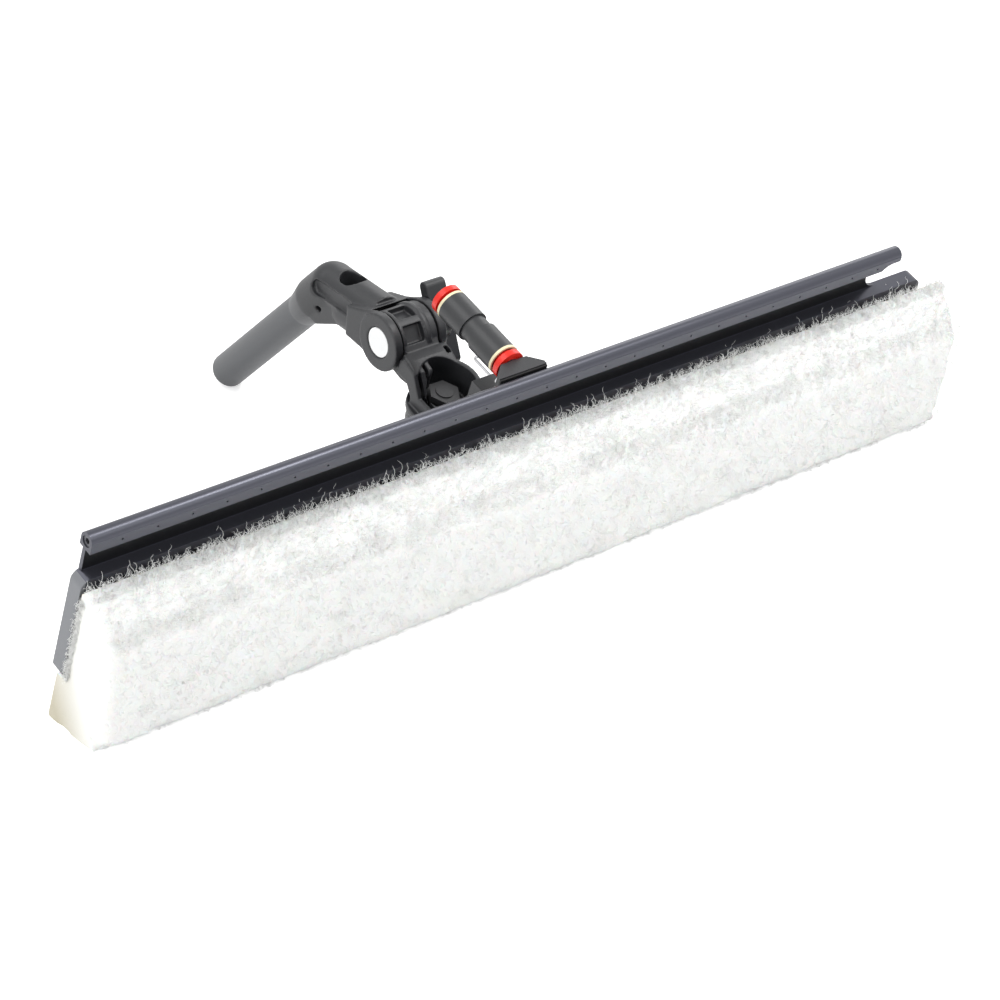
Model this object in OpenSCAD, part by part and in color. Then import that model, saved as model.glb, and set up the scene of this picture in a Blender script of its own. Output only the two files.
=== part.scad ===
// Window scrubber head: rinse rail with jets, white pad, two-way knuckle, pole neck and push-fit union.
// Lengths are in millimetres. X runs along the rail, Y away from the glass, Z up along the plate.

/* [Rail] */
// Length of the rinse tube, end to end
tube_len = 446; // [436:2:450]
// Depth of the rail, front to back
rail_depth = 7.5; // [7:0.1:9]
// Height of the middle of the tube's round top, along the plate
tube_mid = 100.25; // [100:0.05:101]
// From the middle of the round top down to the tube's flat underside
tube_drop = 4.55; // [4.4:0.05:4.8]
// Water bore in the tube
tube_bore_d = 4.4; // [3.6:0.1:4.8]
// Number of jets along the tube
jet_count = 26; // [10:2:26]
// From the end of the tube to the first jet
jet_margin = 14.66; // [10:0.01:20]
// Bore of one jet
jet_d = 1; // [0.6:0.1:1.4]
// From the middle of the round top down to the jets
jet_drop = 1.75; // [1:0.05:2]
// Thickness of the web between tube and plate
web_t = 2; // [1.6:0.1:2.6]
// How far the plate runs past the tube at its left end
left_over = 1; // [0.5:0.5:3]
// How far the plate runs past the tube at its right end
right_over = 22; // [16:1:26]
// Lower edge of the plate above the pad's heel
plate_low = 26.4; // [24:0.2:28]
// Upper edge of the plate above the pad's heel
plate_high = 80.8; // [80:0.1:82]
// Corner radius of the plate's top corners
plate_corner = 5; // [2:0.5:5]
// Wall of the hollow plate
plate_wall = 1.4; // [1.2:0.1:1.8]
// Length of the slot between tube and plate at the right end
slot_len = 13; // [11:1:20]
// Thickness of the end caps
cap_t = 2; // [1.6:0.1:3]

/* [Pad] */
// How far the pad runs past the tube at its left end
pad_left_over = 3; // [2:0.5:8]
// How far the pad runs past the tube at its right end
pad_right_over = 36; // [28:1:40]
// Depth of the pad's sole from heel to toe
pad_sole = 34.5; // [32:0.5:36]
// How far the pad's front bulges from the plate's back
pad_front = 40; // [38:0.5:41]
// Height of the pad's top edge at the plate
pad_top = 78; // [76:0.5:79]
// Depth of the pad near its top
pad_shoulder = 34.5; // [32:0.5:36]
// Thickness of the hook strip
hook_t = 1.5; // [1:0.1:2]
// Thickness of the pad's backing cloth
backing_t = 0.8; // [0.6:0.1:1]

/* [Union] */
// Outside diameter of the push-fit union
union_d = 14.7; // [14.2:0.1:15.5]
// Length of the union without its collets
union_len = 38.7; // [37:0.1:43]
// Outside diameter of the hose it takes
hose_d = 8; // [8:0.1:8]
// From the tube's back to the union's lower end
union_gap = 13.1; // [12.5:0.1:15]
// How far the collets stand out of the union
collet_out = 4.2; // [4:0.1:4.6]

/* [Knuckle] */
// Swivel axis behind the plate's back
swivel_y = 40.5; // [40:0.5:42]
// Height of the shelf's top that carries the knuckle
shelf_z = 45; // [44:0.5:46]
// Outside radius of the swivel drum
drum_r = 15.5; // [15:0.1:16]
// Top of the swivel drum's wall
drum_top = 64; // [62:0.5:65]
// Tilt axis behind the plate's back
tilt_y = 74; // [73.5:0.1:75]
// Height of the tilt axis along the plate
tilt_z = 63; // [62:0.1:64]
// Radius of the tilt drum
tilt_drum_r = 13; // [12.5:0.1:13.2]
// Half the width of the tilt drum
tilt_drum_half = 9.5; // [9:0.1:9.6]

/* [Neck] */
// Diameter of the round ears at the tilt axis
ear_d = 27; // [26:0.5:28]
// Outer face of an ear from the middle
ear_out = 14.5; // [14:0.1:15]
// Width of the arm
arm_w = 20; // [18:0.5:20]
// Slope of the arm below the level of the tilt axis
arm_slope = 14.5; // [13:0.1:17]
// Diameter of the pole barrel
barrel_d = 17; // [16:0.5:18]
// Slope of the barrel below the level of the tilt axis
barrel_slope = 61.5; // [60:0.1:63]
// Diameter of the collar above the barrel
collar_d = 22; // [20:0.5:22]
// Diameter of the round hole on top of the arm
arm_hole_d = 12; // [10:0.5:12]

/* [Stance] */
// How far the head leans so that the sole lies flat
lean = 17; // [17:0.1:17]

/* [Hidden] */

eps = 0.01;
seat = 0.02;
round_fn = 96;
small_fn = 32;

tube_half = tube_len / 2;
tube_r = rail_depth / 2;
tube_low = tube_mid - tube_drop;
jet_z = tube_mid - jet_drop;
jet_pitch = (tube_len - 2 * jet_margin) / (jet_count - 1);
union_z = tube_mid - 0.45;
plate_left = tube_half + left_over;
plate_right = tube_half + right_over;
pad_left = tube_half + pad_left_over;
pad_right = tube_half + pad_right_over;
slot_inner = tube_half - slot_len;
web_start = 2 - tube_half;
groove_w = 0.5;
tongue_len = 8;
tongue_gap = 0.1;
plate_face = -rail_depth;
plate_h = plate_high - plate_low;
cell_h = (plate_h - 4 * plate_wall) / 3;
slot_h = tube_low + 2.9 - plate_high;

hook_face = plate_face - hook_t;
backing_face = hook_face - backing_t;
heel_y = -5;
toe = [heel_y - pad_sole * cos(lean), pad_sole * sin(lean)];
pad_front_z = 19;
pad_shoulder_z = 61;
pad_corner = 3;
corner_cut = 0.15;
plate_gap = 0.4;

plug_y = plate_face + tube_r;
plug_room_r = 2.6;
plug_room_at = tube_half - 4;
plug_room_half = 4.5;
plug_r = 2.58;
plug_half = 3;
plug_at = tube_half - 3.6;
plug_key_r = 1.44;
plug_ring_half = 0.6;
plug_ring_at = tube_half - 7.3;
plug_ring_r = 1.2;

collet_flange_t = 2.8;
hose_r = hose_d / 2;
hose_bore_r = hose_r + 0.05;
collet_r = hose_r + 1.3;
union_r = union_d / 2;
union_start = union_gap;
union_y = union_gap + union_len / 2;
union_end = union_gap + union_len;
hose_in = 17;
collet_room = 11;
sleeve_in = 5.8;
grab_in = 8.6;
grab_t = 0.6;
seal_in = 9.4;
seal_t = 1.4;
inlet_tube_in = 16;
inlet_tube_bore_r = 2.75;
block_end = union_gap - collet_out - 0.9;
clamp_ring_t = 1.3;
waist_r = union_r - 1.9;
waist_half = 3.4;
inlet_half = 13;
inlet_back_half = 7;
inlet_flange = 2.6;
inlet_screw_x = 10;
inlet_low = union_z - 4;
inlet_h = 8.2;
inlet_head_r = 1.95;
inlet_head_t = 1.6;
gasket_t = 0.8;

bracket_half = 25;
bracket_low = 32;
bracket_high = plate_high - 0.8;
bracket_t = 4;
screw_in = 6;
screw_r = 1.9;
screw_head_r = 3.8;
screw_head_t = 2.4;
rib_t = 3;
shelf_half = 14;
gusset_high = 17;
clip_r = 0.7;
clip_gap = 2;
clip_x = 6;
clip_z = union_z - union_r - 10.45;
clip_end = 31.5;
pillar_back = 20;
pillar_chin = clip_z - 8;
pillar_foot = bracket_high - 12;
pillar_top = clip_z + 2.5;

bolt_r = 4;
drum_wall = 2.2;
washer_t = 1;
shelf_t = 6;
drum_base = shelf_z + washer_t + 0.05;
floor_t = 3;
boss_top = 50;
nut_t = 6;
nut_across = 13;
nut_room_r = 8.4;
boss_r = 7.2;
washer_r = 6.6;
cheek_t = 2.2;
link_y = tilt_y - tilt_drum_r - 1;
bush_r = 6;

ear_r = ear_d / 2;
ear_in = tilt_drum_half + 0.8;
pivot_r = 4;
arm_r = arm_w / 2;
arm_mid = -1.4;
arm_step = 3.2;
arm_top = arm_mid + arm_step + arm_r;
arm_start = 14;
arm_end = 50;
arm_low_end = 36;
barrel_r = barrel_d / 2;
collar_r = collar_d / 2;
elbow = [tilt_y + 49.9, tilt_z - 12.2];
barrel_round = 1.5;
collar_len = 29;
arm_hole_at = 37.7;
arm_hole_deep = 13.5;
recess_r = 3.6;
cap_room_r = 7.2;
cap_r = 6.9;
cap_in = 2.2;
ear_gap = 1.7;
gusset_half = 8.5;

sole_z = heel_y * sin(lean);
tip_slope = barrel_slope - lean;
elbow_high = elbow[0] * sin(lean) + elbow[1] * cos(lean) - sole_z;
tip_drop = (barrel_r - barrel_round) * cos(tip_slope) + barrel_round;
barrel_len = (elbow_high - tip_drop) / sin(tip_slope) + barrel_round;
shift_x = (pad_left - pad_right) / 2;
shift_z = -sole_z;
front_reach = pad_shoulder * cos(lean) + pad_shoulder_z * sin(lean) - corner_cut;
elbow_back = elbow[0] * cos(lean) - elbow[1] * sin(lean);
tip_side = (barrel_r - barrel_round) * sin(tip_slope);
tip_back = (barrel_len - barrel_round) * cos(tip_slope) + tip_side + barrel_round;
shift_y = (front_reach - elbow_back - tip_back) / 2;

// Stands the head on its sole and the tip of its barrel
module placed() {
    translate([shift_x, shift_y, shift_z])
        rotate([lean, 0, 0])
            children();
}

// Extrudes a side profile along the rail
module along_x(from, to) {
    translate([from, 0, 0])
        rotate([90, 0, 90])
            linear_extrude(to - from)
                children();
}

// Round bar along the rail
module bar_x(r, from, to, y, z) {
    translate([from, y, z])
        rotate([0, 90, 0])
            cylinder(r = r, h = to - from, $fn = round_fn);
}

// Round bar on the tube's bore, given by its middle and half its length
module plug_bar(r, middle, half) {
    bar_x(r, middle - half, middle + half, plug_y, union_z);
}

// Round bar that runs back from the plate
module bar_y(r, from, to, x, z) {
    translate([x, from, z])
        rotate([-90, 0, 0])
            cylinder(r = r, h = to - from, $fn = round_fn);
}

// Round bar along the swivel axis
module bar_z(r, from, to) {
    translate([0, swivel_y, from])
        cylinder(r = r, h = to - from, $fn = round_fn);
}

// Ring that runs back from the plate
module ring_y(r_out, r_in, from, to, x, z) {
    difference() {
        bar_y(r_out, from, to, x, z);
        bar_y(r_in, from - 1, to + 1, x, z);
    }
}

// Hexagonal block on the swivel axis
module hex_z(across, from, to) {
    translate([0, swivel_y, from])
        cylinder(r = across / sqrt(3), h = to - from, $fn = 6);
}

// Turns a part so that its axis drops by an angle behind a point
module dropping(point, slope) {
    translate([0, point[0], point[1]])
        rotate([-90 - slope, 0, 0])
            children();
}

// Outline of the plate seen from the front
module plate_outline(from, to) {
    translate([0, 1, 0])
        rotate([90, 0, 0])
            linear_extrude(rail_depth + 2)
                union() {
                    translate([from, plate_low])
                        square([to - from, plate_h - plate_corner]);
                    translate([from + plate_corner, plate_high - plate_corner])
                        square([to - from - 2 * plate_corner, plate_corner]);
                    for (x = [from + plate_corner, to - plate_corner])
                        translate([x, plate_high - plate_corner])
                            circle(r = plate_corner, $fn = round_fn);
                }
}

// Side profile of the plate without its cells
module plate_profile() {
    translate([plate_face, plate_low])
        square([rail_depth, plate_h]);
}

// The three cells inside the plate
module cell_profile(gap) {
    for (i = [0 : 2])
        translate([plate_face + plate_wall + gap, plate_low + plate_wall + gap + i * (cell_h + plate_wall)])
            square([rail_depth - 2 * plate_wall - 2 * gap, cell_h - 2 * gap]);
}

// Side profile of the rinse tube
module tube_profile() {
    translate([plate_face, tube_low])
        square([rail_depth, tube_mid - tube_low]);
    translate([plate_face + tube_r, tube_mid])
        circle(r = tube_r, $fn = round_fn);
}

// Positions of the four bracket screws on the plate's back
module at_bracket_screws() {
    for (x = [screw_in - bracket_half, bracket_half - screw_in])
        for (z = [bracket_low + screw_in, bracket_high - 10])
            translate([x, 0, z])
                children();
}

// Positions of the two inlet screws on the tube's back
module at_inlet_screws() {
    for (x = [-1, 1])
        translate([x * inlet_screw_x, 0, union_z])
            children();
}

// Hollow aluminium extrusion with tube, web, plate, jets and end slot
module rail() {
    color([0.2, 0.21, 0.23])
        placed()
            difference() {
                union() {
                    intersection() {
                        along_x(cap_t - plate_left, plate_right - cap_t)
                            plate_profile();
                        plate_outline(-plate_left, plate_right);
                    }
                    along_x(-tube_half, tube_half)
                        tube_profile();
                    along_x(web_start, tube_half)
                        translate([-web_t, plate_high - eps])
                            square([web_t, tube_low - plate_high + 2 * eps]);
                }
                along_x(-plate_left, plate_right)
                    cell_profile(0);
                bar_x(tube_bore_d / 2, -tube_half - 1, tube_half + 1, plug_y, union_z);
                for (side = [-1, 1])
                    plug_bar(plug_room_r, side * plug_room_at, plug_room_half);
                for (i = [0 : jet_count - 1])
                    translate([(i - (jet_count - 1) / 2) * jet_pitch, 0, 0])
                        bar_y(jet_d / 2, plate_face - 1, plate_face + tube_r, 0, jet_z);
                along_x(-tube_half - 1, tube_half + 1)
                    translate([plate_face, tube_mid + 1])
                        rotate(45)
                            square(groove_w, center = true);
                translate([slot_inner + slot_h / 2, plate_face - 1, plate_high])
                    cube([tube_half, rail_depth + 2, slot_h]);
                bar_y(slot_h / 2, plate_face - 1, 1, slot_inner + slot_h / 2, plate_high + slot_h / 2);
                bar_y(tube_bore_d / 2, plate_face + tube_r, 1, 0, union_z);
                at_inlet_screws()
                    bar_y(1.25, plate_face + tube_r, 1, 0, 0);
                at_bracket_screws()
                    bar_y(screw_r + 0.05, -3, 1, 0, 0);
            }
}

// End cap with three tongues that fit the plate's cells
module end_cap(from, to, tongue_from, tongue_to) {
    color([0.36, 0.37, 0.38])
        placed()
            union() {
                intersection() {
                    along_x(from, to)
                        plate_profile();
                    plate_outline(-plate_left, plate_right);
                }
                along_x(tongue_from, tongue_to)
                    cell_profile(tongue_gap);
            }
}

module end_cap_left() {
    end_cap(-plate_left, cap_t - plate_left, cap_t - plate_left - eps, tongue_len - plate_left);
}

module end_cap_right() {
    end_cap(plate_right - cap_t, plate_right, plate_right - tongue_len, plate_right - cap_t + eps);
}

// Socket-headed plugs that close both ends of the tube
module tube_plugs() {
    color([0.12, 0.12, 0.13])
        placed()
            for (side = [-1, 1])
                difference() {
                    plug_bar(plug_r, side * plug_at, plug_half);
                    translate([side * (plug_at + plug_half) - 2, plug_y, union_z])
                        rotate([0, 90, 0])
                            cylinder(r = plug_key_r, h = 4, $fn = 6);
                }
}

// Seal rings between the plugs and the end of the tube's bore
module plug_rings() {
    color([0.05, 0.05, 0.05])
        placed()
            for (side = [-1, 1])
                difference() {
                    plug_bar(plug_r, side * plug_ring_at, plug_ring_half);
                    plug_bar(plug_ring_r, side * plug_ring_at, 1);
                }
}

// Hook strip glued to the plate's front
module hook_strip() {
    color([0.09, 0.09, 0.1])
        placed()
            along_x(4 - plate_left, plate_right - 4)
                translate([hook_face, plate_low + 1])
                    square([hook_t, pad_top - plate_low - 3.5]);
}

// Backing cloth of the pad
module pad_backing() {
    color([0.82, 0.81, 0.76])
        placed()
            along_x(2 - pad_left, pad_right - 2)
                translate([backing_face, plate_low + 0.5])
                    square([backing_t, pad_top - plate_low - 3]);
}

// Side profile of the whole pad with rounded corners
module pad_profile() {
    offset(r = pad_corner, $fn = small_fn)
        offset(delta = -pad_corner)
            polygon([
                [heel_y, 0],
                toe,
                [-pad_front, pad_front_z],
                [-pad_shoulder, pad_shoulder_z],
                [-18, pad_top - 1.5],
                [backing_face, pad_top],
                [backing_face + 6, pad_top - 4],
                [heel_y, plate_low]
            ]);
}

// Space taken by plate, hook strip and backing, cut out of the pad
module plate_space() {
    translate([backing_face, plate_low - plate_gap])
        square([40, 80]);
}

// Side profile of the foam core under the pile
module core_profile() {
    polygon([
        [heel_y, 11],
        [14 - pad_front, pad_front_z],
        [12 - pad_front, pad_front_z + 5],
        [9 - pad_shoulder, pad_shoulder_z - 6],
        [backing_face, pad_top - 12],
        [backing_face, plate_low - plate_gap],
        [heel_y, plate_low - plate_gap]
    ]);
}

// Foam core of the pad
module pad_core() {
    color([0.9, 0.88, 0.8])
        placed()
            along_x(-pad_left, pad_right)
                core_profile();
}

// Curly pile around the core
module pad_pile() {
    color([0.97, 0.97, 0.96])
        placed()
            along_x(-pad_left, pad_right)
                difference() {
                    pad_profile();
                    core_profile();
                    plate_space();
                }
}

// Flat gasket between tube and inlet block
module inlet_gasket() {
    color([0.06, 0.06, 0.06])
        placed()
            difference() {
                translate([-inlet_half, 0, inlet_low])
                    cube([2 * inlet_half, gasket_t, 7.6]);
                bar_y(2.4, -1, 2, 0, union_z);
                at_inlet_screws()
                    bar_y(1.3, -1, 2, 0, 0);
            }
}

// Block that carries the inlet tube
module inlet_block() {
    color([0.13, 0.13, 0.14])
        placed()
            difference() {
                translate([0, 0, inlet_low])
                    linear_extrude(inlet_h)
                        polygon([
                            [-inlet_half, gasket_t],
                            [inlet_half, gasket_t],
                            [inlet_half, inlet_flange],
                            [inlet_back_half, block_end],
                            [-inlet_back_half, block_end],
                            [-inlet_half, inlet_flange]
                        ]);
                bar_y(tube_bore_d / 2, 0, union_gap, 0, union_z);
                bar_y(hose_r + seat, 2, union_gap, 0, union_z);
                at_inlet_screws()
                    bar_y(1.3, -1, 9, 0, 0);
                at_inlet_screws()
                    bar_y(inlet_head_r + 0.1, inlet_flange, 9, 0, 0);
            }
}

// Screws that hold the inlet block
module inlet_screws() {
    color([0.75, 0.75, 0.76])
        placed()
            at_inlet_screws()
                difference() {
                    union() {
                        bar_y(1.2, -2.4, inlet_flange + eps, 0, 0);
                        bar_y(inlet_head_r, inlet_flange, inlet_flange + inlet_head_t, 0, 0);
                    }
                    translate([0, inlet_flange + inlet_head_t / 2, 0])
                        rotate([-90, 0, 0])
                            cylinder(r = 1, h = 2, $fn = 6);
                }
}

// Short tube from the inlet block into the union
module inlet_tube() {
    color([0.1, 0.1, 0.11])
        placed()
            ring_y(hose_r, inlet_tube_bore_r, 2, union_start + inlet_tube_in, 0, union_z);
}

// Union body with two collars, a narrow middle and stepped pockets at both ends
module union_body() {
    color([0.13, 0.13, 0.135])
        placed()
            difference() {
                union() {
                    bar_y(union_r, union_start + clamp_ring_t, union_y - waist_half, 0, union_z);
                    bar_y(waist_r, union_y - waist_half - 1, union_y + waist_half + 1, 0, union_z);
                    bar_y(union_r, union_y + waist_half, union_end - clamp_ring_t, 0, union_z);
                    bar_y(union_r - 0.9, union_start + 0.5, union_end - 0.5, 0, union_z);
                }
                bar_y(2.9, union_start - 1, union_end + 1, 0, union_z);
                for (side = [-1, 1])
                    translate([0, union_y, union_z])
                        rotate([side * -90, 0, 0])
                            union_pocket();
            }
}

// Stepped pocket at one end of the union, drawn from its middle outwards
module union_pocket() {
    half = union_len / 2;
    translate([0, 0, half - hose_in])
        cylinder(r = hose_bore_r, h = hose_in + 1, $fn = round_fn);
    translate([0, 0, half - collet_room])
        cylinder(r = collet_r + 0.06, h = collet_room + 1, $fn = round_fn);
}

// Cream rings pressed over both ends of the union body
module clamp_rings() {
    color([0.87, 0.83, 0.7])
        placed()
            for (from = [union_start, union_end - clamp_ring_t])
                ring_y(union_r, union_r - 0.9, from, from + clamp_ring_t, 0, union_z);
}

// Toothed steel rings that grip the hose
module grab_rings() {
    color([0.75, 0.75, 0.76])
        placed()
            for (from = [union_start + grab_in, union_end - grab_in - grab_t])
                difference() {
                    bar_y(collet_r + 0.04, from, from + grab_t, 0, union_z);
                    bar_y(hose_r + 0.3, from - 1, from + 2, 0, union_z);
                    for (turn = [0 : 45 : 315])
                        translate([0, from - 1, union_z])
                            rotate([0, turn, 0])
                                translate([hose_r, 0, -0.3])
                                    cube([0.8, 3, 0.6]);
                }
}

// Rubber seals behind the grab rings
module hose_seals() {
    color([0.06, 0.06, 0.06])
        placed()
            for (from = [union_start + seal_in, union_end - seal_in - seal_t])
                ring_y(collet_r + 0.04, hose_r + 0.25, from, from + seal_t, 0, union_z);
}

// Release collet, drawn from the middle of the union outwards
module collet() {
    half = union_len / 2;
    sleeve_low = half - sleeve_in;
    flange_low = half + collet_out - collet_flange_t;
    difference() {
        union() {
            translate([0, 0, sleeve_low])
                cylinder(r = collet_r, h = half + collet_out - sleeve_low, $fn = round_fn);
            translate([0, 0, flange_low])
                cylinder(r = union_r - 0.15, h = collet_flange_t, $fn = round_fn);
        }
        translate([0, 0, sleeve_low - 1])
            cylinder(r = hose_bore_r, h = 20, $fn = round_fn);
    }
}

module lower_collet() {
    color([0.8, 0.1, 0.07])
        placed()
            translate([0, union_y, union_z])
                rotate([90, 0, 0])
                    collet();
}

module upper_collet() {
    color([0.8, 0.1, 0.07])
        placed()
            translate([0, union_y, union_z])
                rotate([-90, 0, 0])
                    collet();
}

// Hairpin wire that stands out of the bracket under the union
module wire_clip() {
    color([0.8, 0.79, 0.74])
        placed() {
            for (side = [-1, 1])
                bar_y(clip_r, pillar_back - 6, clip_end, clip_x + side * clip_gap, clip_z);
            translate([clip_x, clip_end, clip_z])
                rotate_extrude(angle = 180, $fn = round_fn)
                    translate([clip_gap, 0])
                        circle(r = clip_r, $fn = small_fn);
        }
}

// Bracket on the plate's back with the shelf that carries the knuckle
module swivel_bracket() {
    color([0.12, 0.12, 0.13])
        placed()
            difference() {
                union() {
                    translate([-bracket_half, 0, bracket_low])
                        cube([2 * bracket_half, bracket_t, bracket_high - bracket_low]);
                    along_x(-8, 13)
                        polygon([
                            [0, pillar_foot],
                            [bracket_t, pillar_foot],
                            [pillar_back, pillar_chin],
                            [pillar_back, pillar_top],
                            [0, pillar_top]
                        ]);
                    translate([-shelf_half, 0, shelf_z - shelf_t])
                        cube([2 * shelf_half, swivel_y, shelf_t]);
                    bar_z(shelf_half, shelf_z - shelf_t, shelf_z);
                    for (x = [-13, -1.5, 10])
                        along_x(x, x + rib_t)
                            polygon([
                                [0, bracket_low + 0.5],
                                [bracket_t, bracket_low + 0.5],
                                [24, shelf_z - shelf_t + eps],
                                [0, shelf_z - shelf_t + eps]
                            ]);
                    for (x = [-13, 10])
                        along_x(x, x + rib_t)
                            polygon([
                                [0, shelf_z - eps],
                                [20, shelf_z - eps],
                                [bracket_t, shelf_z + gusset_high],
                                [0, shelf_z + gusset_high]
                            ]);
                }
                bar_z(bolt_r + 0.1, shelf_z - shelf_t - 1, shelf_z + 1);
                at_bracket_screws()
                    bar_y(screw_r + 0.2, -1, 6, 0, 0);
                for (side = [-1, 1])
                    bar_y(clip_r + 0.05, pillar_back - 6.1, pillar_back + 1, clip_x + side * clip_gap, clip_z);
            }
}

// Pan-head screws that hold the bracket
module bracket_screws() {
    color([0.72, 0.72, 0.73])
        placed()
            at_bracket_screws()
                difference() {
                    union() {
                        bar_y(screw_r, -2.8, bracket_t + eps, 0, 0);
                        bar_y(screw_head_r, bracket_t, bracket_t + screw_head_t, 0, 0);
                    }
                    translate([0, bracket_t + screw_head_t / 2, 0])
                        rotate([-90, 0, 0])
                            cylinder(r = 1.6, h = 2, $fn = 6);
                }
}

// Bolt of the swivel, put in from below
module swivel_bolt() {
    color([0.7, 0.7, 0.71])
        placed()
            union() {
                bar_z(bolt_r, shelf_z - 7, boss_top + nut_t + 1.5);
                hex_z(nut_across, shelf_z - 12.3, shelf_z - 7);
            }
}

// Washers under the bolt's head, below the drum and above its boss
module swivel_washers() {
    color([0.76, 0.76, 0.77])
        placed()
            for (from = [shelf_z - shelf_t - washer_t, shelf_z, boss_top + 0.05])
                difference() {
                    bar_z(washer_r, from, from + washer_t);
                    bar_z(bolt_r + 0.1, from - 1, from + 2);
                }
}

// Lock nut on top of the drum's boss
module swivel_nut() {
    color([0.73, 0.73, 0.74])
        placed()
            difference() {
                hex_z(nut_across, boss_top + 0.05 + washer_t, boss_top + washer_t + nut_t);
                bar_z(bolt_r + seat, boss_top, boss_top + nut_t + 2);
            }
}

// Side plate of the knuckle, drawn behind the swivel axis
module cheek_profile() {
    polygon([
        [28, drum_base],
        [28, 53.5],
        [30, 55],
        [42.5, 55],
        [49.4, drum_top],
        [link_y - 2, drum_top + 2],
        [link_y, drum_top],
        [link_y, 56.5],
        [53, 57],
        [48, 52],
        [47, drum_base]
    ]);
}

// Side outline of the floor between the cheeks
module floor_profile() {
    polygon([[28, drum_base], [28, drum_base + floor_t], [48, 51], [47, drum_base]]);
}

// Knuckle with an open swivel drum, ribbed cheeks and a ribbed tilt drum
module knuckle() {
    color([0.15, 0.15, 0.155])
        placed()
            difference() {
                union() {
                    bar_z(drum_r, drum_base, drum_base + floor_t);
                    difference() {
                        bar_z(drum_r, drum_base, drum_top);
                        bar_z(drum_r - drum_wall, drum_base, drum_top + 1);
                        translate([-40, 0, drum_base - 1])
                            cube([36, 90, 40]);
                        translate([-40, 0, drum_base + 6])
                            cube([80, 31, 40]);
                    }
                    bar_z(boss_r, drum_base, boss_top);
                    intersection() {
                        union() {
                            for (x = [-12.6, -8.4, -4.2])
                                along_x(x, x + cheek_t)
                                    cheek_profile();
                            along_x(-12, -3)
                                floor_profile();
                        }
                        bar_z(26, drum_base, drum_top + 3);
                    }
                    difference() {
                        along_x(-11.2, 12)
                            polygon([
                                [49, 50.5],
                                [49, drum_top],
                                [link_y - 5, drum_top + 2.5],
                                [link_y, drum_top + 2.5],
                                [link_y, 56],
                                [53, 56]
                            ]);
                        bar_z(drum_r - drum_wall, drum_base, drum_top + 4);
                    }
                    along_x(-tilt_drum_half + 0.5, tilt_drum_half - 0.5)
                        polygon([
                            [link_y - 5, tilt_z - 11],
                            [link_y - 5, tilt_z + 3.4],
                            [link_y, tilt_z + 3.4],
                            [tilt_y - 8, tilt_z + 9],
                            [tilt_y, tilt_z + 3],
                            [tilt_y, tilt_z - 11.5],
                            [tilt_y - 8, tilt_z - 11.5],
                            [link_y, tilt_z - 12]
                        ]);
                    bar_x(tilt_drum_r, -tilt_drum_half, tilt_drum_half, tilt_y, tilt_z);
                    bar_x(tilt_drum_r + 0.8, 3.2, 5.4, tilt_y, tilt_z);
                }
                bar_z(bolt_r + 0.06, drum_base - 1, boss_top + 1);
                bar_z(nut_room_r, boss_top, drum_top + 4);
                bar_x(bush_r, -tilt_drum_half - 1, tilt_drum_half + 1, tilt_y, tilt_z);
                for (turn = [-120, -65, -10, 45])
                    translate([0, tilt_y, tilt_z])
                        rotate([turn, 0, 0])
                            drum_pocket();
                translate([9, 53.5, drum_top - 4])
                    cube([2.4, 4, 8]);
            }
}

// One pocket between the ribs of the tilt drum
module drum_pocket() {
    translate([-tilt_drum_half + 1.8, -4.2, 9.6])
        cube([10, 8.4, 10]);
}

// Flanged bushes in the tilt drum
module tilt_bushes() {
    color([0.78, 0.76, 0.7])
        placed()
            difference() {
                bar_x(bush_r - seat, -tilt_drum_half, tilt_drum_half, tilt_y, tilt_z);
                bar_x(pivot_r + 0.06, -tilt_drum_half - 1, tilt_drum_half + 1, tilt_y, tilt_z);
            }
}

// Thin washers between the tilt drum and the ears
module tilt_washers() {
    color([0.8, 0.78, 0.72])
        placed()
            for (from = [-tilt_drum_half - 0.7, tilt_drum_half])
                difference() {
                    bar_x(10.5, from, from + 0.7, tilt_y, tilt_z);
                    bar_x(pivot_r + 0.06, from - 1, from + 2, tilt_y, tilt_z);
                }
}

// Side outline of the cheek that joins an ear to the arm
module cheek_outline() {
    translate([tilt_y, tilt_z])
        circle(r = ear_r - 0.6, $fn = round_fn);
    translate([tilt_y, tilt_z])
        rotate(-arm_slope)
            polygon([[0, -12.9], [5, -12.6], [14, -10.4], [26, -9], [26, 6], [14, 9.2], [6, 12.4], [0, 12.9]]);
}

// Puts a form into the frame of the arm: Y along it from the tilt axis, Z up from it
module on_arm() {
    translate([0, tilt_y, tilt_z])
        rotate([-arm_slope, 0, 0])
            children();
}

// Round bar along the arm at a height above the tilt axis
module arm_bar(up, from, to) {
    on_arm()
        translate([0, from, up])
            rotate([-90, 0, 0])
                cylinder(r = arm_r, h = to - from, $fn = round_fn);
}

// Arm with a rounded top, a rounded underside and flat sides
module arm() {
    arm_bar(arm_mid + arm_step, arm_start, arm_end);
    arm_bar(arm_mid - arm_step, arm_start, arm_low_end);
    on_arm() {
        translate([-arm_r, arm_start, arm_mid - arm_step])
            cube([arm_w, arm_low_end - arm_start, 2 * arm_step]);
        translate([-arm_r, arm_start, arm_mid])
            cube([arm_w, arm_end - arm_start, arm_step]);
        for (end = [[arm_low_end, arm_mid - arm_step], [arm_end, arm_mid + arm_step]])
            translate([0, end[0], end[1]])
                sphere(r = arm_r, $fn = round_fn);
    }
}

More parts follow.
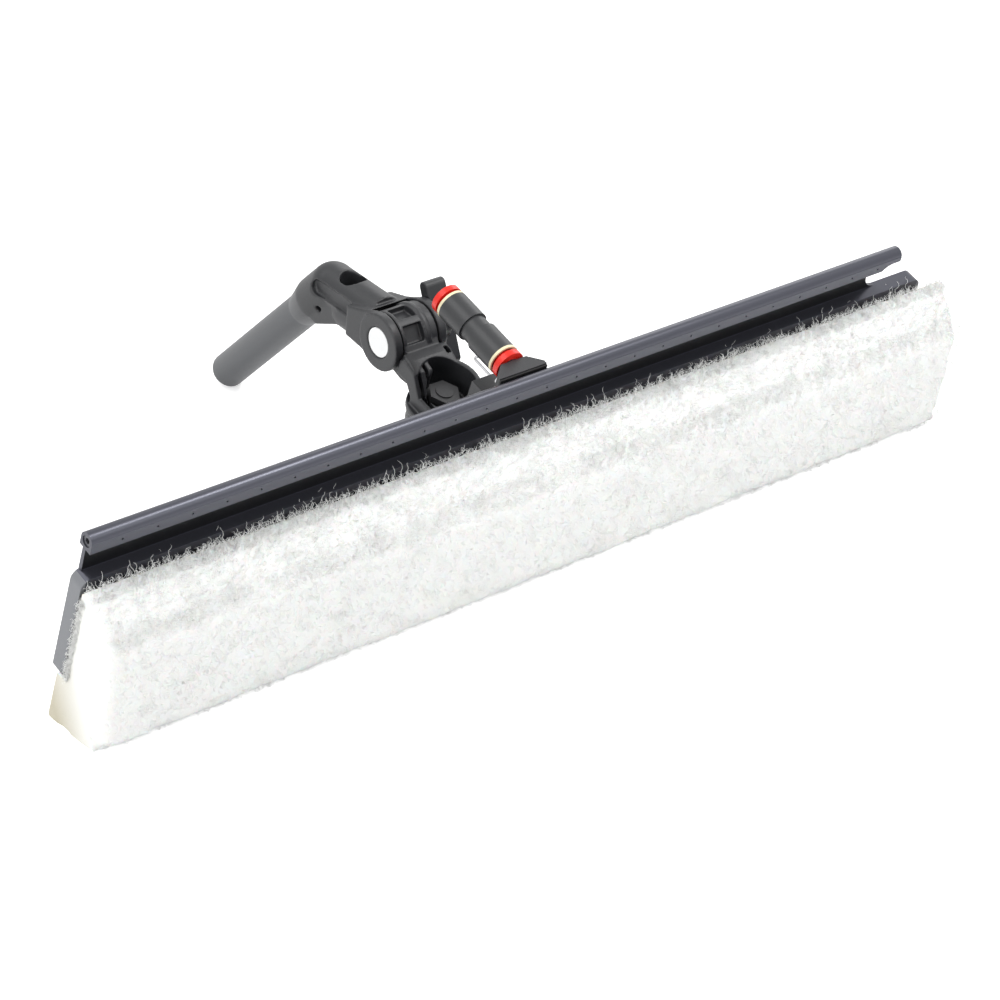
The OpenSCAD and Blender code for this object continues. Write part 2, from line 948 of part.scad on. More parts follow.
// Neck with two ears, a rounded arm, an elbow and the pole barrel
module neck() {
    color([0.17, 0.175, 0.18])
        placed()
            difference() {
                union() {
                    bar_x(ear_r, -ear_out, ear_out, tilt_y, tilt_z);
                    along_x(2 - ear_out, ear_out - 2)
                        cheek_outline();
                    arm();
                    translate([0, elbow[0], elbow[1]])
                        sphere(r = collar_r, $fn = round_fn);
                    dropping(elbow, barrel_slope) {
                        collar();
                        barrel();
                    }
                    along_x(-gusset_half, gusset_half)
                        elbow_gusset();
                }
                bar_x(tilt_drum_r + ear_gap, -ear_in, ear_in, tilt_y, tilt_z);
                bar_x(pivot_r + seat, -ear_out - 1, ear_out + 1, tilt_y, tilt_z);
                bar_x(cap_room_r, -ear_out - 1, -ear_out + cap_in, tilt_y, tilt_z);
                on_arm()
                    translate([0, arm_hole_at, arm_top - arm_hole_deep])
                        cylinder(r = arm_hole_d / 2, h = 30, $fn = round_fn);
                on_arm()
                    translate([-arm_r, 0, arm_mid + arm_step + 0.6])
                        round_slot(29, 51);
                bar_x(1.5, -30, -4, elbow[0] - 2.8, elbow[1] - 9.1);
            }
}

// Side outline of the web that fills the inner corner of the elbow
module elbow_gusset() {
    translate(elbow)
        polygon([[-21.9, -1.8], [-17.9, -6.3], [-3.3, -18.4], [4.1, -18.8], [4.1, -4.8], [-13.9, 3.2]]);
}

// Slot with rounded ends cut along the arm
module round_slot(from, to) {
    translate([-2, from, -recess_r])
        cube([4, to - from, 2 * recess_r]);
    for (y = [from, to])
        translate([-2, y, 0])
            rotate([0, 90, 0])
                cylinder(r = recess_r, h = 4, $fn = round_fn);
}

// Collar between elbow and barrel, narrowing to the barrel
module collar() {
    rotate_extrude($fn = round_fn)
        polygon([[0, 0], [collar_r, 0], [collar_r, 17], [barrel_r + 0.2, collar_len], [0, collar_len]]);
}

// Pole barrel with a rounded tip
module barrel() {
    rotate_extrude($fn = round_fn)
        union() {
            square([barrel_r, barrel_len - barrel_round]);
            square([barrel_r - barrel_round, barrel_len]);
            translate([barrel_r - barrel_round, barrel_len - barrel_round])
                circle(r = barrel_round, $fn = small_fn);
        }
}

// Blank white cap in the near ear
module hub_cap() {
    color([0.93, 0.94, 0.94])
        placed()
            bar_x(cap_r, -ear_out + 0.4, -ear_out + cap_in, tilt_y, tilt_z);
}

// Bolt of the tilt pivot
module pivot_bolt() {
    color([0.7, 0.7, 0.71])
        placed()
            bar_x(pivot_r, -ear_out + cap_in, ear_out + 8.5, tilt_y, tilt_z);
}

// Washer under the wing nut
module wing_washer() {
    color([0.76, 0.76, 0.77])
        placed()
            difference() {
                bar_x(7.5, ear_out, ear_out + 1, tilt_y, tilt_z);
                bar_x(pivot_r + seat, ear_out - 1, ear_out + 2, tilt_y, tilt_z);
            }
}

// Wing nut on the far side
module wing_nut() {
    wing_from = ear_out + 1.05;
    wing_w = 11;
    wing_t = 5.5;
    wing_reach = 17;
    color([0.14, 0.14, 0.145])
        placed()
            difference() {
                union() {
                    bar_x(7, wing_from, wing_from + 7, tilt_y, tilt_z);
                    for (turn = [-39, 141])
                        translate([wing_from, tilt_y, tilt_z])
                            rotate([turn, 0, 0])
                                translate([0, -wing_t / 2, 0])
                                    cube([wing_w, wing_t, wing_reach]);
                    for (turn = [-39, 141])
                        translate([wing_from, tilt_y, tilt_z])
                            rotate([turn, 0, 0])
                                translate([0, 0, wing_reach])
                                    rotate([0, 90, 0])
                                        cylinder(r = wing_t / 2, h = wing_w, $fn = round_fn);
                }
                bar_x(pivot_r + 0.05, wing_from - 1, wing_from + 12, tilt_y, tilt_z);
            }
}

rail();
end_cap_left();
end_cap_right();
tube_plugs();
plug_rings();
hook_strip();
pad_backing();
pad_core();
pad_pile();
inlet_gasket();
inlet_block();
inlet_screws();
inlet_tube();
union_body();
clamp_rings();
grab_rings();
hose_seals();
wire_clip();
swivel_bracket();
bracket_screws();
swivel_bolt();
swivel_washers();
swivel_nut();
knuckle();
tilt_bushes();
tilt_washers();
neck();
hub_cap();
pivot_bolt();
wing_washer();
wing_nut();
lower_collet();
upper_collet();
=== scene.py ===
import math

import bpy
import numpy as np
from mathutils import Matrix, Vector


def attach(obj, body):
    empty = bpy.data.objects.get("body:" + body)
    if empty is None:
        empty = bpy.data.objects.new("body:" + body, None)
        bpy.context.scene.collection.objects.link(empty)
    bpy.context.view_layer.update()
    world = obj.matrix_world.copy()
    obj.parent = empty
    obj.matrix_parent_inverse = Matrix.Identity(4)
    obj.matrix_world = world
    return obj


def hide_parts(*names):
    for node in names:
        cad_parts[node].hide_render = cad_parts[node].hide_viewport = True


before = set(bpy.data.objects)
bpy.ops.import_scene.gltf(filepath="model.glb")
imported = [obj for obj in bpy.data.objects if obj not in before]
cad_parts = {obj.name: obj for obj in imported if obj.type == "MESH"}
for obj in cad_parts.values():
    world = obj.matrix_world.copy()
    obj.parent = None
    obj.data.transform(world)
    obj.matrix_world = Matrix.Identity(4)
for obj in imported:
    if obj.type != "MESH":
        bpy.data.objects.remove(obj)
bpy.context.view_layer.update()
rng = np.random.default_rng(7)

# points are millimetres on the head, where x runs along the rail, y back from the plate and z up it;
# stance is how that head leans in the room
stance = dict(lean=17.0, shift=(-16.5, -70.271, 1.462))
leanCos = math.cos(math.radians(stance["lean"]))
leanSin = math.sin(math.radians(stance["lean"]))


def mm(value):
    return value / 1000.0


def headToWorld(points):
    points = np.asarray(points, dtype=float)
    out = np.empty_like(points)
    out[..., 0] = points[..., 0] + stance["shift"][0]
    out[..., 1] = points[..., 1] * leanCos - points[..., 2] * leanSin + stance["shift"][1]
    out[..., 2] = points[..., 1] * leanSin + points[..., 2] * leanCos + stance["shift"][2]
    return mm(out)


def turnToWorld(vector):
    x, y, z = vector
    return Vector((x, y * leanCos - z * leanSin, y * leanSin + z * leanCos))


def colour(text):
    parts = [int(text[i:i + 2], 16) / 255.0 for i in (1, 3, 5)]
    linear = [p / 12.92 if p <= 0.04045 else ((p + 0.055) / 1.055) ** 2.4 for p in parts]
    return (*linear, 1.0)


def addNode(tree, kind, inputs=None, **settings):
    # inputs go by socket name, or by number where the names repeat
    node = tree.nodes.new(kind)
    for key, value in settings.items():
        setattr(node, key, value)
    for key, value in (inputs or {}).items():
        if isinstance(value, bpy.types.NodeSocket):
            tree.links.new(value, node.inputs[key])
        else:
            node.inputs[key].default_value = value
    return node


def newMaterial(name, base, roughness, metallic=0.0, ior=1.5, **more):
    material = bpy.data.materials.new(name)
    material.use_nodes = True
    tree = material.node_tree
    shader = tree.nodes["Principled BSDF"]
    shader.inputs["Base Color"].default_value = colour(base)
    shader.inputs["Roughness"].default_value = roughness
    shader.inputs["Metallic"].default_value = metallic
    shader.inputs["IOR"].default_value = ior
    for key, value in more.items():
        shader.inputs[key].default_value = value
    return material, tree, shader


def grainMaterial(name, base, roughness, grain, bump, ior=1.5, metallic=0.0, stretch=(1, 1, 1), spread=0.12,
                  **more):
    # grain is the size of one grain and bump its height, both in millimetres; a real grain finer than
    # 0.3 mm would not show, so it is drawn that coarse
    material, tree, shader = newMaterial(name, base, roughness, metallic, ior, **more)
    place = addNode(tree, "ShaderNodeTexCoord")
    mapping = addNode(tree, "ShaderNodeMapping", {"Vector": place.outputs["Object"], "Scale": stretch})
    noise = addNode(tree, "ShaderNodeTexNoise", {"Vector": mapping.outputs["Vector"], "Scale": 1000.0 / grain,
                                                 "Detail": 3.0, "Roughness": 0.6})
    rough = addNode(tree, "ShaderNodeMapRange", {"Value": noise.outputs["Fac"], "To Min": roughness - spread,
                                                 "To Max": roughness + spread})
    lift = addNode(tree, "ShaderNodeBump", {"Height": noise.outputs["Fac"], "Strength": 0.6,
                                            "Distance": mm(bump)})
    tree.links.new(rough.outputs["Result"], shader.inputs["Roughness"])
    tree.links.new(lift.outputs["Normal"], shader.inputs["Normal"])
    return material


def tintBetween(material, direction, points, states, fromColour, toColour, facing=None):
    # a change of colour along one direction of the head, between points given in its millimetres
    tree = material.node_tree
    direction = turnToWorld(direction).normalized()
    stops = [float(np.dot(direction, headToWorld(point))) for point in points]
    place = addNode(tree, "ShaderNodeTexCoord")
    along = addNode(tree, "ShaderNodeVectorMath", {0: place.outputs["Object"], 1: direction},
                    operation="DOT_PRODUCT")
    spot = addNode(tree, "ShaderNodeMapRange", {"Value": along.outputs["Value"], "From Min": stops[0],
                                                "From Max": stops[-1]})
    ramp = addNode(tree, "ShaderNodeValToRGB", {"Fac": spot.outputs["Result"]})
    elements = ramp.color_ramp.elements
    for stop in stops[1:-1]:
        elements.new((stop - stops[0]) / (stops[-1] - stops[0]))
    for element, state in zip(elements, states):
        element.color = (state, state, state, 1)
    amount = ramp.outputs["Color"]
    if facing:
        turned = addNode(tree, "ShaderNodeVectorMath", {0: place.outputs["Normal"], 1: turnToWorld(facing)},
                         operation="DOT_PRODUCT")
        amount = addNode(tree, "ShaderNodeMath", {0: amount, 1: turned.outputs["Value"]},
                         operation="MULTIPLY", use_clamp=True).outputs["Value"]
    # sockets 6, 7 and 2 are the two colours and the result of a mix node set to colour
    mix = addNode(tree, "ShaderNodeMix", data_type="RGBA")
    tree.links.new(amount, mix.inputs[0])
    mix.inputs[6].default_value = colour(fromColour)
    mix.inputs[7].default_value = colour(toColour)
    tree.links.new(mix.outputs[2], tree.nodes["Principled BSDF"].inputs["Base Color"])


nylonLook = dict(colour="#222326", barrel="#4b4d50", roughness=0.46, grain=0.35, bump=0.05)
railLook = dict(colour="#484952", paintedRecessShade="#0d0e10", roughness=0.34, streak=0.9)
# glass-filled nylon, moulded with a fine spark grain, IOR about 1.53
nylon = grainMaterial("mouldedNylon", nylonLook["colour"], nylonLook["roughness"], nylonLook["grain"],
                      nylonLook["bump"], ior=1.53)
# the neck is moulded in one with its barrel, which is painted paler, a painted highlight where the lamps fall
# more strongly on it
neckNylon = grainMaterial("neckNylon", nylonLook["colour"], nylonLook["roughness"], nylonLook["grain"],
                          nylonLook["bump"], ior=1.53)
tintBetween(neckNylon, (0, 0.477, -0.879), [(0, 130.6, 38.5), (0, 138.2, 24.4)], (0, 1), nylonLook["colour"],
            nylonLook["barrel"])
# anodised aluminium, extruded, so its fine lines run along the rail, under an oxide film of IOR 1.6;
# its front faces in the hollow under the tube are painted darker, a painted shade for the tube's shadow
anodised = grainMaterial("anodisedRail", railLook["colour"], railLook["roughness"], railLook["streak"], 0.01,
                         metallic=0.6, ior=1.6, stretch=(0.02, 1, 1), spread=0.05)
tintBetween(anodised, (0, 0, 1), [(0, 0, 81.0), (0, 0, 81.6), (0, 0, 95.3), (0, 0, 95.8)], (0, 1, 1, 0),
            railLook["colour"], railLook["paintedRecessShade"], facing=(0, -1, 0))
# end caps of moulded polypropylene, matt, and turned plugs with a hard glossy coat
capPlastic = grainMaterial("greyCaps", "#77797d", 0.5, 0.4, 0.03)
plugGrey = grainMaterial("plugGrey", "#55565c", 0.45, 0.3, 0.01, metallic=0.5, ior=2.0)
# rolled steel, plated bright, or with a dark glossy chromate film of IOR 2 over the zinc
steel = grainMaterial("zincSteel", "#c6c6c8", 0.3, 0.3, 0.01, metallic=1.0)
darkSteel = grainMaterial("blackZinc", "#2b2b2d", 0.4, 0.3, 0.01, metallic=0.6, ior=2.0)
# nitrile rubber, moulded and dull
rubber = grainMaterial("sealRubber", "#0d0d0e", 0.6, 0.6, 0.02)
# woven nylon hook tape, woven polyester cloth and open-celled polyurethane foam, all without gloss
hookTape = grainMaterial("hookTape", "#17181a", 0.9, 0.6, 0.25)
backing = grainMaterial("backingCloth", "#dcd9cd", 0.95, 0.7, 0.2)
foam = grainMaterial("padFoam", "#c9c3b0", 0.95, 1.1, 0.35)
# smooth moulded polyamide of the union, its cream rings and its polished red acetal collets
unionPlastic = grainMaterial("unionPlastic", "#2d2e30", 0.38, 0.5, 0.02)
creamPlastic = grainMaterial("creamRing", "#e9dfba", 0.35, 0.8, 0.01)
redPlastic = grainMaterial("redCollet", "#e5281a", 0.3, 0.8, 0.01, ior=1.48)
# pale acetal bushes, the white moulded hub cap and the extruded black polyurethane tube
acetal = grainMaterial("paleAcetal", "#cfcabb", 0.45, 0.8, 0.01)
whiteCap = grainMaterial("bareWhiteCap", "#f7f8f8", 0.4, 0.8, 0.01)
hosePlastic = grainMaterial("hosePlastic", "#131315", 0.4, 0.8, 0.01)
# crimped polyester fibre, matt with a soft sheen
pileWhite, _, pileShader = newMaterial("whitePile", "#fbfcfa", 0.9)
pileShader.inputs["Sheen Weight"].default_value = 1.0
pileShader.inputs["Sheen Roughness"].default_value = 0.6
pileGround = grainMaterial("pileGround", "#fbfcfa", 0.95, 1.6, 0.45,
                           **{"Subsurface Weight": 0.3, "Subsurface Scale": 0.004})
# at the pad's ends the colour goes from foam cream near the heel to near white towards the top and front
endFleece = grainMaterial("endFleece", "#e9e5d8", 0.95, 1.4, 0.5)
tintBetween(endFleece, (0, -0.8, 0.6), [(0, -8.0, 8.0), (0, -26.0, 24.0)], (0, 1), "#c9c3b0", "#f6f6f2")
print("materials ready")

edgeLook = dict(width=0.25, segments=2, angle=40.0)
filletLook = dict(neck=dict(voxel=0.55, passes=6), knuckle=dict(voxel=0.4, passes=3),
                  wing_nut=dict(voxel=0.35, passes=4))
nodeMaterials = {
    "rail": anodised, "end_cap_left": capPlastic, "end_cap_right": capPlastic, "tube_plugs": plugGrey,
    "plug_rings": rubber, "hook_strip": hookTape, "pad_backing": backing, "inlet_gasket": rubber,
    "inlet_block": nylon, "inlet_screws": steel, "inlet_tube": hosePlastic, "union_body": unionPlastic,
    "clamp_rings": creamPlastic, "grab_rings": steel, "hose_seals": rubber, "wire_clip": steel,
    "swivel_bracket": nylon, "bracket_screws": steel, "swivel_bolt": darkSteel, "swivel_washers": steel,
    "swivel_nut": darkSteel, "knuckle": nylon, "tilt_bushes": acetal, "tilt_washers": acetal,
    "neck": neckNylon, "hub_cap": whiteCap, "pivot_bolt": steel, "wing_washer": steel, "wing_nut": nylon,
    "lower_collet": redPlastic, "upper_collet": redPlastic}
for nodeName, material in nodeMaterials.items():
    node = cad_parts[nodeName]
    node.data.materials.clear()
    node.data.materials.append(material)
    if nodeName in filletLook:
        # moulded pieces get small fillets where their ribs meet
        remesh = node.modifiers.new("voxels", "REMESH")
        remesh.mode = "VOXEL"
        remesh.voxel_size = mm(filletLook[nodeName]["voxel"])
        remesh.use_smooth_shade = True
        fillet = node.modifiers.new("fillets", "SMOOTH")
        fillet.factor = 0.5
        fillet.iterations = filletLook[nodeName]["passes"]
    else:
        rounding = node.modifiers.new("edges", "BEVEL")
        rounding.width = mm(edgeLook["width"])
        rounding.segments = edgeLook["segments"]
        rounding.limit_method = "ANGLE"
        rounding.angle_limit = math.radians(edgeLook["angle"])
        rounding.harden_normals = False
print("frame dressed")


def meshObject(name, verts, faces, material):
    mesh = bpy.data.meshes.new(name)
    mesh.from_pydata([tuple(v) for v in verts], [], faces)
    mesh.update()
    mesh.materials.append(material)
    mesh.polygons.foreach_set("use_smooth", [True] * len(mesh.polygons))
    obj = bpy.data.objects.new(name, mesh)
    bpy.context.collection.objects.link(obj)
    return obj


def evenLine(points, step):
    # the closed outline with its points set out at even steps
    points = np.array(points + [points[0]], dtype=float)
    gaps = np.linalg.norm(np.diff(points, axis=0), axis=1)
    along = np.concatenate([[0], np.cumsum(gaps)])
    count = max(int(along[-1] / step), 4)
    at = np.linspace(0, along[-1], count + 1)[:-1]
    return np.stack([np.interp(at, along, points[:, i]) for i in range(2)], axis=1)


def inwardNormals(outline):
    ahead, behind = np.roll(outline, -1, axis=0), np.roll(outline, 1, axis=0)
    tangent = (ahead - behind) / np.linalg.norm(ahead - behind, axis=1)[:, None]
    area = np.sum(outline[:, 0] * ahead[:, 1] - ahead[:, 0] * outline[:, 1])
    return np.stack([-tangent[:, 1], tangent[:, 0]], axis=1) * (1 if area > 0 else -1)


def extrudeOutline(name, outline, left, right, step, material, end=None):
    # a closed skin along the rail, drawn in a little towards its flat ends where end is given
    columns = int((right - left) / step) + 1
    xs = np.linspace(left, right, columns)
    count = len(outline)
    grid = np.empty((columns, count, 3))
    grid[:, :, 0] = xs[:, None]
    grid[:, :, 1:] = outline[None, :, :]
    if end:
        near = np.clip(1 - np.minimum(xs - left, right - xs) / end["length"], 0, 1)
        inward = inwardNormals(outline)
        # the back against the plate and the flat sole keep their place
        free = np.clip((end["freeFrom"] - outline[:, 0]) / end["freeOver"], 0, 1)
        free = free * (inward[:, 1] < end["soleTurn"])
        inset = end["inset"] * (1 - np.sqrt(1 - near ** 2))[:, None] * free[None, :]
        grid[:, :, 1:] += inset[:, :, None] * inward[None, :, :]
    verts = headToWorld(grid.reshape(-1, 3))
    faces = []
    for i in range(columns - 1):
        for j in range(count):
            k = (j + 1) % count
            faces.append((i * count + j, i * count + k, (i + 1) * count + k, (i + 1) * count + j))
    faces.append(tuple(range(count - 1, -1, -1)))
    faces.append(tuple(range((columns - 1) * count, columns * count)))
    return meshObject(name, verts, faces, material)


def makeActive(obj):
    bpy.ops.object.select_all(action="DESELECT")
    obj.select_set(True)
    bpy.context.view_layer.objects.active = obj


def faceOutward(obj):
    makeActive(obj)
    bpy.ops.object.mode_set(mode="EDIT")
    bpy.ops.mesh.select_all(action="SELECT")
    bpy.ops.mesh.normals_make_consistent(inside=False)
    bpy.ops.object.mode_set(mode="OBJECT")


def applyModifiers(obj):
    makeActive(obj)
    for modifier in list(obj.modifiers):
        bpy.ops.object.modifier_apply(modifier=modifier.name)


def cloudDisplace(obj, size, strength, group):
    texture = bpy.data.textures.new(obj.name + "Cloud", "CLOUDS")
    texture.noise_scale = mm(size)
    displace = obj.modifiers.new("lumps", "DISPLACE")
    displace.texture = texture
    displace.texture_coords = "GLOBAL"
    displace.strength = mm(strength)
    displace.mid_level = 0.5
    displace.vertex_group = group


padSize = dict(
    left=-226.0, right=259.0, skinInset=1.0, coreInset=4.0, skinStep=1.6, coreStep=20.0, outlineStep=2.0,
    outline=[(-5.0, 25.8), (-5.0, 0.4), (-8.0, 0.92), (-36.0, 9.48), (-38.6, 12.0), (-39.2, 18.5),
             (-36.6, 40.0), (-33.2, 60.0), (-26.0, 69.5), (-17.0, 75.6), (-10.2, 77.6), (-10.0, 27.0)],
    core=[(-5.2, 11.0), (-26.0, 19.0), (-28.0, 24.0), (-25.5, 55.0), (-10.0, 66.0), (-10.0, 26.0),
          (-5.2, 26.0)])
padEnd = dict(length=11.0, inset=7.0, freeFrom=-11.0, freeOver=6.0, soleTurn=0.6)
padLumps = dict(back=-10.6, soleHeight=9.0, soleFrom=-38.0, soleSlope=0.3, clouds=((13, 1.5), (4, 0.8)))

# the pile's ground: a lumpy skin that the strands stand on
outline = evenLine(padSize["outline"], padSize["outlineStep"])
padGround = extrudeOutline("padGround", outline, padSize["left"] + padSize["skinInset"],
                           padSize["right"] - padSize["skinInset"], padSize["skinStep"], pileGround, padEnd)
faceOutward(padGround)
columns = len(padGround.data.vertices) // len(outline)
# the sole and the back stay flat, and the rest gets lumps
lumpy = [i for i, (y, z) in enumerate(np.tile(outline, (columns, 1))) if y < padLumps["back"]
         and z > padLumps["soleHeight"] - (y - padLumps["soleFrom"]) * padLumps["soleSlope"]]
padGround.vertex_groups.new(name="lumps").add(lumpy, 1.0, "REPLACE")
for size, strength in padLumps["clouds"]:
    cloudDisplace(padGround, size, strength, "lumps")
applyModifiers(padGround)
padGround.data.materials.append(endFleece)
for polygon in padGround.data.polygons:
    if abs(polygon.normal.x) > 0.9 and len(polygon.vertices) > 4:
        polygon.material_index = 1
        polygon.use_smooth = False
# no lump goes through the floor
coords = np.empty(len(padGround.data.vertices) * 3)
padGround.data.vertices.foreach_get("co", coords)
coords[2::3] = np.maximum(coords[2::3], 0.0)
padGround.data.vertices.foreach_set("co", coords)
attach(padGround, "head")
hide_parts("pad_pile")

coreOutline = evenLine(padSize["core"], padSize["outlineStep"])
padCore = extrudeOutline("padCore", coreOutline, padSize["left"] + padSize["coreInset"],
                         padSize["right"] - padSize["coreInset"], padSize["coreStep"], foam)
faceOutward(padCore)
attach(padCore, "head")
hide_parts("pad_core")
print("pad ground ready")

# thick is a strand's radius; finer ones, as on the real pile, would not show
strandLook = dict(thick=0.13, taper=0.45, curl=(0.3, 0.9), curlRise=2.5, turns=(0.6, 1.8), bend=0.22, clump=7,
                  clumpLean=0.55, ownLean=0.28, steps=8, corners=3, endGap=2.0, floorGap=0.2)
padRim = [(-16.0, 75.4), (-9.8, 77.2), (-9.0, 76.5)]
pileRows = dict(
    pileFront=dict(copies=3, strands=4200, length=(1.6, 4.2), lift=0.1,
                   line=[(-36.5, 10.2), (-38.2, 13.0), (-38.8, 18.5), (-36.2, 40.0), (-32.8, 60.0),
                         (-25.6, 69.3)]),
    pileTop=dict(copies=2, strands=4200, length=(2.0, 5.5), lift=0.4,
                 line=[(-32.0, 61.0), (-25.6, 69.3), (-16.8, 75.2), (-10.6, 77.2)]),
    pileEdge=dict(copies=1, strands=3400, length=(1.2, 4.2), lift=0.5,
                  line=padRim),
    pileLoose=dict(copies=1, strands=850, length=(4.0, 10.0), lift=0.7,
                   line=padRim))
pileEnds = dict(strands=450, length=(0.9, 3.2), lift=0.3, inset=0.8, backward=0.6, y=(-13.0, -10.4),
                z=(28.0, 74.0))


def unitRows(vectors):
    return vectors / np.linalg.norm(vectors, axis=1)[:, None]


def strandMesh(name, roots, normals, lengths, lift):
    # curly strands of the pile as thin tubes, closed at both ends
    look = strandLook
    count, steps, corners = len(roots), look["steps"], look["corners"]
    clumps = max(count // look["clump"], 1)
    leader = rng.integers(0, clumps, count)
    lean = rng.normal(0, look["clumpLean"], (clumps, 3))[leader] + rng.normal(0, look["ownLean"], (count, 3))
    direction = unitRows(normals + lean + np.array([0, 0, lift]))
    helper = np.tile([1.0, 0.0, 0.0], (count, 1))
    helper[np.abs(direction[:, 0]) > 0.8] = [0.0, 1.0, 0.0]
    sideA = unitRows(np.cross(direction, helper))
    sideB = np.cross(direction, sideA)
    t = np.linspace(0, 1, steps)[None, :, None]
    reach = rng.uniform(*lengths, count)[:, None, None]
    curl = rng.uniform(*look["curl"], count)[:, None, None]
    turns = rng.uniform(*look["turns"], count)[:, None, None] * 2 * math.pi
    phase = rng.uniform(0, 2 * math.pi, count)[:, None, None]
    wide = curl * np.minimum(1.0, look["curlRise"] * t)
    sideA, sideB, angle = sideA[:, None, :], sideB[:, None, :], turns * t + phase
    line = (roots[:, None, :] + direction[:, None, :] * reach * (t - look["bend"] * t * t)
            + wide * (np.cos(angle) * sideA + np.sin(angle) * sideB))
    thick = look["thick"] * (1 - look["taper"] * t)
    ring = []
    for corner in range(corners):
        turn = 2 * math.pi * corner / corners
        ring.append(line + thick * (math.cos(turn) * sideA + math.sin(turn) * sideB))
    verts = headToWorld(np.stack(ring, axis=2).reshape(-1, 3))
    verts[:, 2] = np.maximum(verts[:, 2], mm(look["floorGap"]))
    base = (np.arange(count) * steps * corners)[:, None, None]
    i = (np.arange(steps - 1) * corners)[None, :, None]
    j = np.arange(corners)[None, None, :]
    k = (j + 1) % corners
    quads = np.stack([base + i + j, base + i + corners + j, base + i + corners + k, base + i + k], axis=-1)
    around = np.arange(corners)
    ends = np.concatenate([base[:, 0] + around, base[:, 0] + (steps - 1) * corners + around[::-1]])
    obj = meshObject(name, verts, quads.reshape(-1, 4).tolist() + ends.tolist(), pileWhite)
    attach(obj, "head")


def lineSpots(count, line):
    # random roots over the length of the pad, on a line of its outline
    line = np.array(line)
    gaps = np.linalg.norm(np.diff(line, axis=0), axis=1)
    along = np.concatenate([[0], np.cumsum(gaps)])
    at = rng.uniform(0, along[-1], count)
    y = np.interp(at, along, line[:, 0])
    z = np.interp(at, along, line[:, 1])
    index = np.clip(np.searchsorted(along, at) - 1, 0, len(gaps) - 1)
    tangent = (line[1:] - line[:-1])[index] / gaps[index][:, None]
    x = rng.uniform(padSize["left"] + strandLook["endGap"], padSize["right"] - strandLook["endGap"], count)
    normals = np.stack([np.zeros(count), -tangent[:, 1], tangent[:, 0]], axis=1)
    return np.stack([x, y, z], axis=1), normals


def endSpots(count, x, side):
    # random roots near the plate on one end of the pad
    z = rng.uniform(*pileEnds["z"], count)
    y = rng.uniform(*pileEnds["y"], count)
    return np.stack([np.full(count, x), y, z], axis=1), np.tile([side, pileEnds["backward"], 0.0], (count, 1))


for rowName, row in pileRows.items():
    for copy in range(row["copies"]):
        name = rowName + str(copy) if row["copies"] > 1 else rowName
        roots, normals = lineSpots(row["strands"], row["line"])
        strandMesh(name, roots, normals, row["length"], row["lift"])
for name, x, side in (("pileLeft", padSize["left"] + pileEnds["inset"], -1.0),
                      ("pileRight", padSize["right"] - pileEnds["inset"], 1.0)):
    roots, normals = endSpots(pileEnds["strands"], x, side)
    strandMesh(name, roots, normals, pileEnds["length"], pileEnds["lift"])
print("pile ready")

backdrop = dict(world=0.52, floorLift=0.5, floorColour="#f0f0f0", floorSize=8.0)


def backdropSeen(tree):
    # 1 where the camera, a gloss or a clear piece looks at the backdrop, and 0 for the light it gives
    paths = addNode(tree, "ShaderNodeLightPath")
    direct = addNode(tree, "ShaderNodeMath", {0: paths.outputs["Is Camera Ray"],
                                              1: paths.outputs["Is Glossy Ray"]}, operation="MAXIMUM")
    seen = addNode(tree, "ShaderNodeMath", {0: direct.outputs["Value"],
                                            1: paths.outputs["Is Transmission Ray"]}, operation="MAXIMUM")
    return seen.outputs["Value"]


# the floor is pale and keeps the shadow, and is lifted to white where it is seen
floorMaterial = bpy.data.materials.new("floorWhite")
floorMaterial.use_nodes = True
floorTree = floorMaterial.node_tree
floorTree.nodes.clear()
lift = addNode(floorTree, "ShaderNodeMath", {0: backdropSeen(floorTree), 1: backdrop["floorLift"]},
               operation="MULTIPLY")
matt = addNode(floorTree, "ShaderNodeBsdfDiffuse", {"Color": colour(backdrop["floorColour"])})
glow = addNode(floorTree, "ShaderNodeEmission", {"Color": (1, 1, 1, 1), "Strength": lift.outputs["Value"]})
both = addNode(floorTree, "ShaderNodeAddShader", {0: matt.outputs["BSDF"], 1: glow.outputs["Emission"]})
addNode(floorTree, "ShaderNodeOutputMaterial", {"Surface": both.outputs["Shader"]})
bpy.ops.mesh.primitive_plane_add(size=backdrop["floorSize"], location=(0, 0, 0))
floor = bpy.context.object
floor.name = "floor"
floor.data.materials.append(floorMaterial)

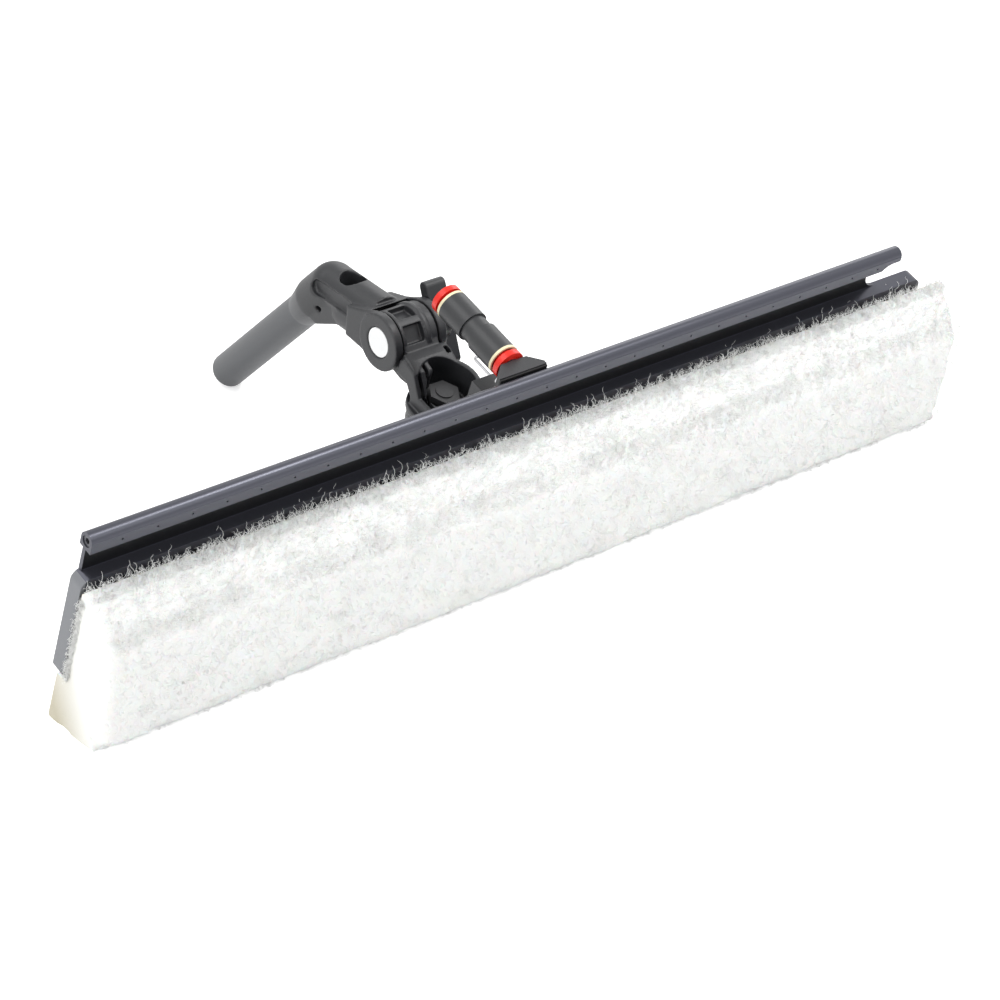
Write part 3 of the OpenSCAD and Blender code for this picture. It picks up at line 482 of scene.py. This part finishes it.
world = bpy.data.worlds.new("studio")
bpy.context.scene.world = world
world.use_nodes = True
worldTree = world.node_tree
worldTree.nodes.clear()
strength = addNode(worldTree, "ShaderNodeMapRange", {"Value": backdropSeen(worldTree),
                                                     "To Min": backdrop["world"], "To Max": 1.0})
sky = addNode(worldTree, "ShaderNodeBackground", {"Color": (1, 1, 1, 1),
                                                  "Strength": strength.outputs["Result"]})
addNode(worldTree, "ShaderNodeOutputWorld", {"Surface": sky.outputs["Background"]})

# places, aims and sizes of the lamps are metres in the room
lamps = dict(
    keyLight=dict(place=(-0.7, 0.35, 1.4), aim=(0, 0, 0.05), size=(1.5, 0.9), power=8.0),
    sideLight=dict(place=(-1.6, -0.25, 0.55), aim=(-0.1, 0, 0.06), size=(0.9, 0.7), power=8.0),
    stripLight=dict(place=(0.42, -0.4, 1.02), aim=(-0.2, 0, 0.1), size=(0.25, 0.25), power=5.0),
    fillLight=dict(place=(0.25, -1.5, 1.1), aim=(0, 0, 0.04), size=(1.4, 0.8), power=6.0),
    rimLight=dict(place=(1.2, 0.9, 0.9), aim=(0, 0, 0.05), size=(1.0, 0.8), power=5.0))
for lampName, lamp in lamps.items():
    light = bpy.data.lights.new(lampName, "AREA")
    light.shape = "RECTANGLE"
    light.size, light.size_y = lamp["size"]
    light.energy = lamp["power"]
    lampObject = bpy.data.objects.new(lampName, light)
    lampObject.location = lamp["place"]
    ray = Vector(lamp["aim"]) - Vector(lamp["place"])
    lampObject.rotation_euler = ray.to_track_quat("-Z", "Y").to_euler()
    bpy.context.collection.objects.link(lampObject)

shot = dict(place=(-816.4, -690.8, 1006.5), lens=118.43, sensor=36.0, clip=(0.05, 20.0),
            right=(0.77031, -0.59397, 0.23057), up=(0.29176, 0.65037, 0.70154))
scene = bpy.context.scene
scene.view_settings.view_transform = "Standard"
cameraData = bpy.data.cameras.new("camera")
cameraData.sensor_width = shot["sensor"]
cameraData.lens = shot["lens"]
cameraData.clip_start, cameraData.clip_end = shot["clip"]
camera = bpy.data.objects.new("camera", cameraData)
bpy.context.collection.objects.link(camera)
right = turnToWorld(shot["right"]).normalized()
up = turnToWorld(shot["up"]).normalized()
back = right.cross(up).normalized()
up = back.cross(right)
place = headToWorld(np.array(shot["place"]))
camera.matrix_world = Matrix(((right.x, up.x, back.x, place[0]), (right.y, up.y, back.y, place[1]),
                              (right.z, up.z, back.z, place[2]), (0, 0, 0, 1)))
scene.camera = camera
print("stage ready")
